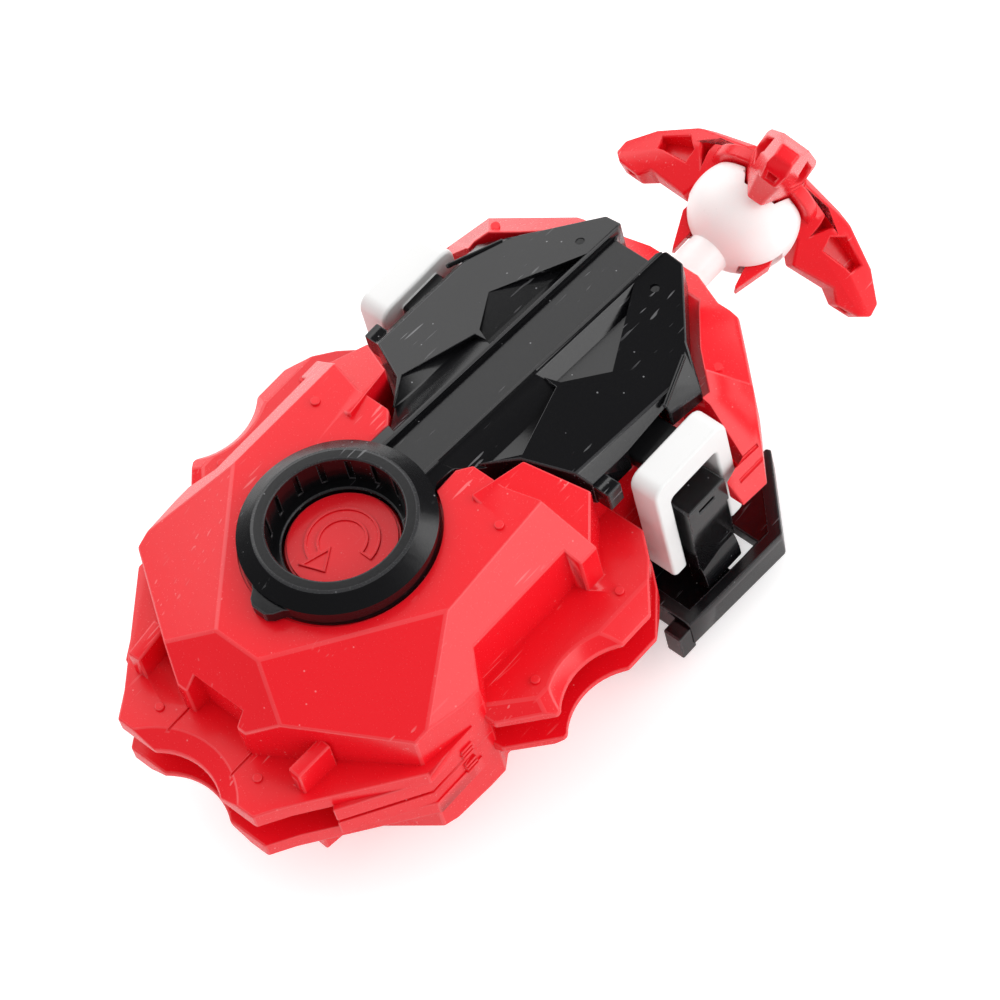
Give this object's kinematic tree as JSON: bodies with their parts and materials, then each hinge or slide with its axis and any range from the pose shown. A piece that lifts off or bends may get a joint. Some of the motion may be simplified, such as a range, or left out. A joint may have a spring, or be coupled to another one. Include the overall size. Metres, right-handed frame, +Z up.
{
  "type": "spinning top launcher",
  "caption": "Hand-held string launcher for spinning tops: faceted two-shell casing with ring sockets, grip slots, side buttons and a three-armed pull handle on a string.",
  "frame": {"origin": "on the launch axis, in the plane of the lower ring's rim", "axes": "+Z up along the launch axis, +Y forward along the string's pull, +X to the right"},
  "size_m": [0.086, 0.158, 0.0568],
  "materials": {
    "red_shell": "satin-gloss moulded red plastic",
    "black_plate": "satin-gloss moulded black plastic with light scratches",
    "white_plastic": "satin white plastic",
    "milky_plastic": "milky, slightly translucent plastic",
    "gear_plastic": "natural acetal",
    "steel": "plain steel",
    "brass": "turned brass",
    "string": "braided white cord"
  },
  "bodies": {
    "casing": {"upper_shell": "red_shell", "lower_shell": "red_shell", "top_plate": "black_plate", "bottom_plate": "black_plate", "casing_screws": "steel", "plate_screws": "steel", "upper_bush": "white_plastic", "lower_bush": "white_plastic", "spool_axle": "steel", "axle_washers": "steel", "return_spring": "steel", "string_guide": "white_plastic", "string_lead": "string", "side_latch_right": "black_plate", "side_latch_left": "black_plate", "button_spring_right": "steel", "button_spring_left": "steel"},
    "drive": {"drive_gear": "gear_plastic", "clutch_hub": "brass", "clutch_pawls": "steel"},
    "core": {"core_shaft": "gear_plastic", "top_disc": "red_shell", "claw_disc": "red_shell", "launch_claws": "black_plate"},
    "spool": {"string_spool": "gear_plastic", "spool_cap": "black_plate", "string_winding": "string"},
    "handle": {"handle_hub": "milky_plastic", "handle_spider": "red_shell", "string_knot": "string"},
    "button_right": {"side_button_right": "white_plastic"},
    "button_left": {"side_button_left": "white_plastic"}
  },
  "joints": [
    {"name": "handle_pull", "type": "slide", "parent": "casing", "child": "handle", "axis": [0, 1, 0], "range_m": [0, 0.42], "stiffness_N_per_m": 6, "springref_m": -0.3, "deforming": ["string_lead"]},
    {"name": "spool_spin", "type": "hinge", "parent": "casing", "child": "spool", "pos_m": [0, 0.03, 0.0282], "axis": [0, 0, 1], "range_deg": [0, 2080]},
    {"name": "drive_spin", "type": "hinge", "parent": "casing", "child": "drive", "pos_m": [0, 0, 0.0282], "axis": [0, 0, 1], "range_deg": [-4160, 0]},
    {"name": "core_shift", "type": "slide", "parent": "drive", "child": "core", "axis": [0, 0, 1], "range_m": [0, 0.0045]},
    {"name": "button_right_press", "type": "slide", "parent": "casing", "child": "button_right", "axis": [-1, 0, 0], "range_m": [0, 0.0022], "stiffness_N_per_m": 250, "springref_m": -0.003, "deforming": ["button_spring_right"]},
    {"name": "button_left_press", "type": "slide", "parent": "casing", "child": "button_left", "axis": [1, 0, 0], "range_m": [0, 0.0022], "stiffness_N_per_m": 250, "springref_m": -0.003, "deforming": ["button_spring_left"]}
  ],
  "couplings": [
    {"joint": "spool_spin", "follows": "handle_pull", "rad_per_m": 86.2},
    {"joint": "drive_spin", "follows": "handle_pull", "rad_per_m": -172.4}
  ]
}
